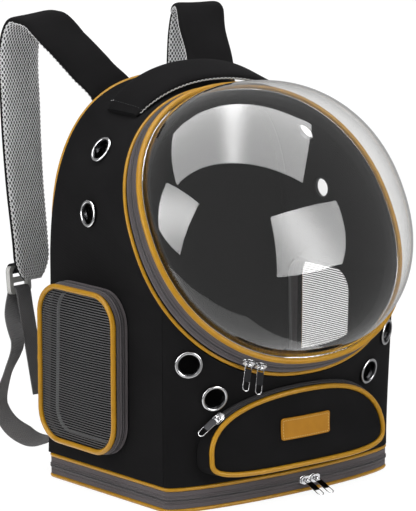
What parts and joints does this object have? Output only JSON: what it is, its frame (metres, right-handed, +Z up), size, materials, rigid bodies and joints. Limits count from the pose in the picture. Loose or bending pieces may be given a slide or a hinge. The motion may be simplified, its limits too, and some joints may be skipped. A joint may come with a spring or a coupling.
{
  "type": "bubble pet carrier backpack",
  "caption": "Black fabric pet carrier backpack with a clear dome in its leaning front, amber piping, mesh side windows, a half-moon front pocket, a grab handle and padded shoulder straps.",
  "frame": {"origin": "middle of the base's underside, on the floor", "axes": "+Z up, +Y towards the wearer's back, +X to the right of someone who looks at the dome"},
  "size_m": [0.3836, 0.4175, 0.4853],
  "materials": {
    "black_cloth": "matt woven black cloth over foam",
    "amber_piping": "semi-gloss amber faux-leather piping",
    "grey_tape": "woven grey zip tape with a nylon coil",
    "grey_mesh": "ribbed air mesh",
    "clear_dome": "clear glossy plastic",
    "chrome": "polished",
    "gunmetal": "dark polished",
    "amber_leather": "grained amber leather with a stitched edge",
    "grey_web": "woven polypropylene webbing",
    "pale_plastic": "moulded pale grey plastic"
  },
  "bodies": {
    "carrier": {"back_panel": "black_cloth", "back_piping": "amber_piping", "base_piping_lower": "amber_piping", "base_piping_upper": "amber_piping", "base_slider_left": "chrome", "base_slider_right": "chrome", "base_tray": "black_cloth", "base_zip_tape": "grey_tape", "buckle_left": "pale_plastic", "buckle_loop_left": "black_cloth", "buckle_loop_right": "black_cloth", "buckle_right": "pale_plastic", "dome": "clear_dome", "dome_flange": "black_cloth", "eyelet_front_lower_left": "chrome", "eyelet_front_lower_right": "chrome", "eyelet_front_upper_left": "chrome", "eyelet_front_upper_right": "chrome", "eyelet_side_lower_left": "chrome", "eyelet_side_lower_right": "chrome", "eyelet_side_upper_left": "chrome", "eyelet_side_upper_right": "chrome", "front_panel": "black_cloth", "handle": "black_cloth", "label_patch": "amber_leather", "pocket_face": "black_cloth", "pocket_piping": "amber_piping", "pocket_slider": "chrome", "pocket_zip_tape": "grey_tape", "ring_piping_inner": "amber_piping", "ring_piping_outer": "amber_piping", "ring_slider_left": "chrome", "ring_slider_right": "chrome", "ring_zip_tape": "grey_tape", "side_gusset": "black_cloth", "strap_left": "black_cloth", "strap_right": "black_cloth", "webbing_left": "grey_web", "webbing_right": "grey_web", "window_mesh_left": "grey_mesh", "window_mesh_right": "grey_mesh", "window_piping_left": "amber_piping", "window_piping_right": "amber_piping", "window_zip_tape_left": "grey_tape", "window_zip_tape_right": "grey_tape"},
    "base_pull_left": {"base_pull_left": "gunmetal"},
    "base_pull_right": {"base_pull_right": "gunmetal"},
    "pocket_pull": {"pocket_pull": "gunmetal"},
    "ring_pull_left": {"ring_pull_left": "gunmetal"},
    "ring_pull_right": {"ring_pull_right": "gunmetal"}
  },
  "joints": [
    {"name": "ring_pull_left_hinge", "type": "hinge", "parent": "carrier", "child": "ring_pull_left", "pos_m": [-0.07932, -0.13892, 0.15179], "axis": [-0.912, 0.1892, 0.3639], "range_deg": [-20, 130]},
    {"name": "ring_pull_right_hinge", "type": "hinge", "parent": "carrier", "child": "ring_pull_right", "pos_m": [-0.06621, -0.1414, 0.14712], "axis": [-0.9446, 0.1515, 0.2913], "range_deg": [-20, 130]},
    {"name": "base_pull_left_hinge", "type": "hinge", "parent": "carrier", "child": "base_pull_left", "pos_m": [0.01406, -0.11728, 0.0135], "axis": [-0.9999, -0.0169, 0], "range_deg": [-65, 62]},
    {"name": "base_pull_right_hinge", "type": "hinge", "parent": "carrier", "child": "base_pull_right", "pos_m": [0.02711, -0.11696, 0.0135], "axis": [-0.9995, -0.033, 0], "range_deg": [-65, 62]},
    {"name": "pocket_pull_hinge", "type": "hinge", "parent": "carrier", "child": "pocket_pull", "pos_m": [-0.09954, -0.1153, 0.09706], "axis": [-0.1326, 0.9033, 0.4079], "range_deg": [0, 165]}
  ]
}
